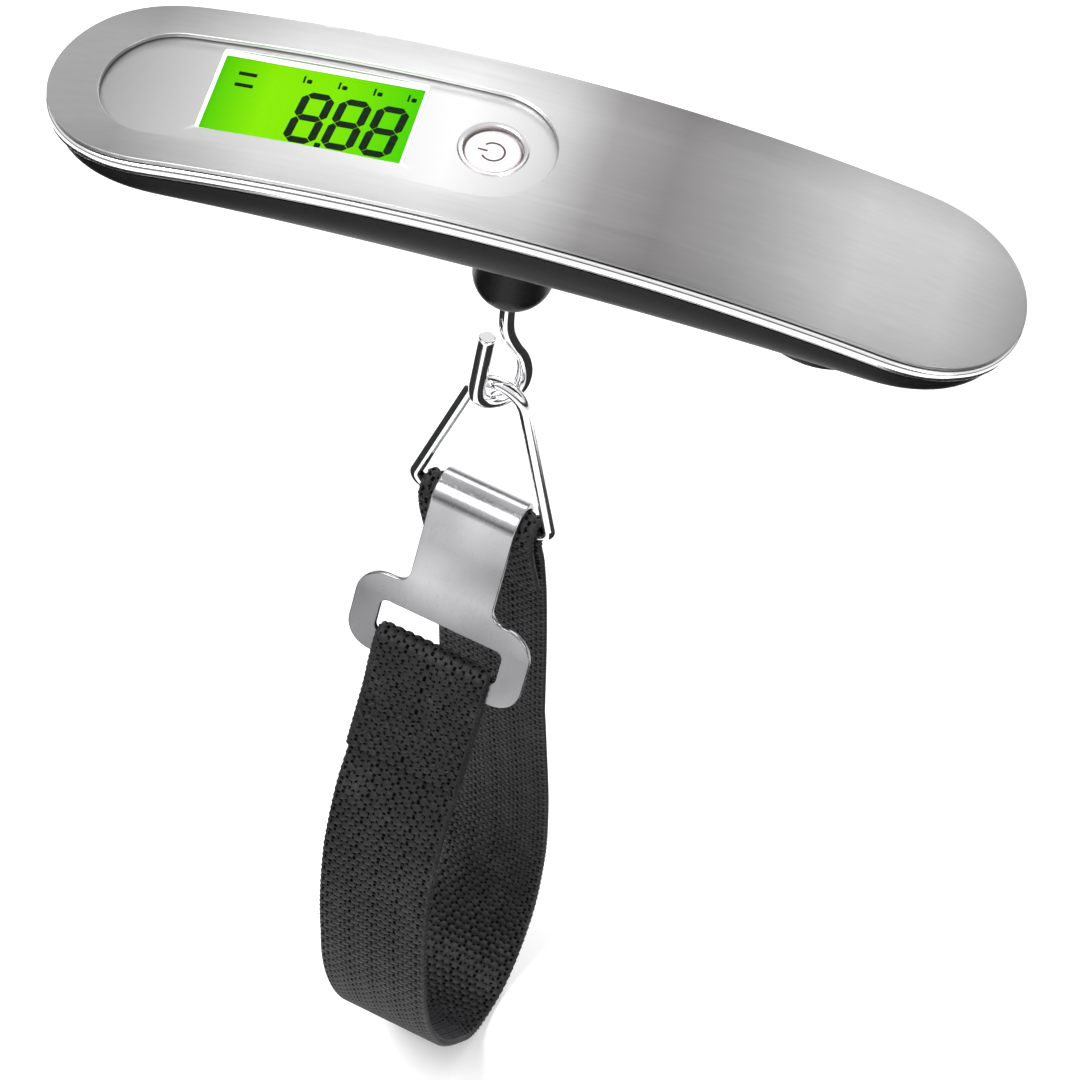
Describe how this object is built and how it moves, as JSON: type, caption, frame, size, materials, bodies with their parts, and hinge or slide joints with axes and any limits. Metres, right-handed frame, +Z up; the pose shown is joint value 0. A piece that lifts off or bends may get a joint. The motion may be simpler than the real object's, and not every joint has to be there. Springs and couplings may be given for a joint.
{
  "type": "digital luggage scale",
  "caption": "Arched hand-held luggage scale with a recessed display, a swivelling hook, a triangular ring and a webbing strap with a T-shaped plate.",
  "frame": {"origin": "top of the face plate at the middle of the body, where a hand holds the scale", "axes": "+Z up out of the face, +X along the body towards the battery end, +Y to the back; the hook, ring and strap hang along -Z"},
  "size_m": [0.16, 0.0729, 0.2815],
  "materials": {
    "face_steel": "brushed stainless sheet, fine grain along the body",
    "rim_chrome": "bright chrome plating",
    "panel_silver": "satin light silver",
    "lens_clear": "clear polished window",
    "display_green": "back-lit lime green display",
    "diffuser_white": "white light diffuser",
    "connector_rubber": "striped conductive rubber",
    "board_green": "green solder mask",
    "chip_resin": "black resin blob",
    "switch_metal": "tinned switch can",
    "button_silicone": "off-white silicone, dark power mark",
    "shell_black": "black moulded plastic, fine texture",
    "collar_rubber": "soft black rubber",
    "beam_alloy": "milled alloy",
    "gauge_foil": "foil gauge",
    "screw_steel": "plated steel",
    "cell_steel": "stamped cell can",
    "contact_brass": "spring brass",
    "hook_chrome": "bright chrome plating",
    "ring_chrome": "bright chrome plating",
    "plate_steel": "satin stamped steel with polished edges",
    "webbing_black": "black woven nylon webbing, raised cells"
  },
  "bodies": {
    "scale_body": {"face_plate": "face_steel", "chrome_rim": "rim_chrome", "inset_panel": "panel_silver", "display_lens": "lens_clear", "lcd_glass": "display_green", "backlight": "diffuser_white", "zebra_strip_1": "connector_rubber", "zebra_strip_2": "connector_rubber", "circuit_board": "board_green", "controller_chip": "chip_resin", "tact_switch": "switch_metal", "lower_shell": "shell_black", "chassis": "shell_black", "case_screw_1": "screw_steel", "case_screw_2": "screw_steel", "case_screw_3": "screw_steel", "case_screw_4": "screw_steel", "load_cell": "beam_alloy", "strain_gauge_1": "gauge_foil", "strain_gauge_2": "gauge_foil", "cell_bracket": "screw_steel", "cell_screw_1": "screw_steel", "cell_screw_2": "screw_steel", "coin_cell": "cell_steel", "contact_negative": "contact_brass", "contact_positive": "contact_brass", "hook_collar": "collar_rubber"},
    "button": {"power_button": "button_silicone"},
    "battery_door": {"battery_cover": "shell_black", "cover_seal": "collar_rubber"},
    "hook": {"load_hook": "hook_chrome", "hook_washer": "screw_steel", "hook_nut": "screw_steel"},
    "ring": {"triangle_ring": "ring_chrome"},
    "strap": {"t_hook": "plate_steel", "strap_loop": "webbing_black", "strap_fold": "webbing_black"}
  },
  "joints": [
    {"name": "button_press", "type": "slide", "parent": "scale_body", "child": "button", "axis": [0.022, 0, -0.9998], "range_m": [0, 0.0006], "stiffness_N_per_m": 600},
    {"name": "battery_door_turn", "type": "hinge", "parent": "scale_body", "child": "battery_door", "pos_m": [0.04775, 0, -0.01787], "axis": [-0.1444, 0, -0.9895], "range_deg": [0, 40]},
    {"name": "hook_swivel", "type": "hinge", "parent": "scale_body", "child": "hook", "pos_m": [-0.0015, 0, -0.03], "axis": [0, 0, 1], "continuous": true},
    {"name": "ring_swing", "type": "hinge", "parent": "hook", "child": "ring", "pos_m": [-0.00093, 0.00048, -0.06165], "axis": [0.766, 0.6428, 0], "range_deg": [-15, 15]},
    {"name": "strap_swing", "type": "hinge", "parent": "ring", "child": "strap", "pos_m": [-0.00093, 0.00048, -0.0914], "axis": [0.9763, -0.2164, 0], "range_deg": [-30, 30]}
  ]
}
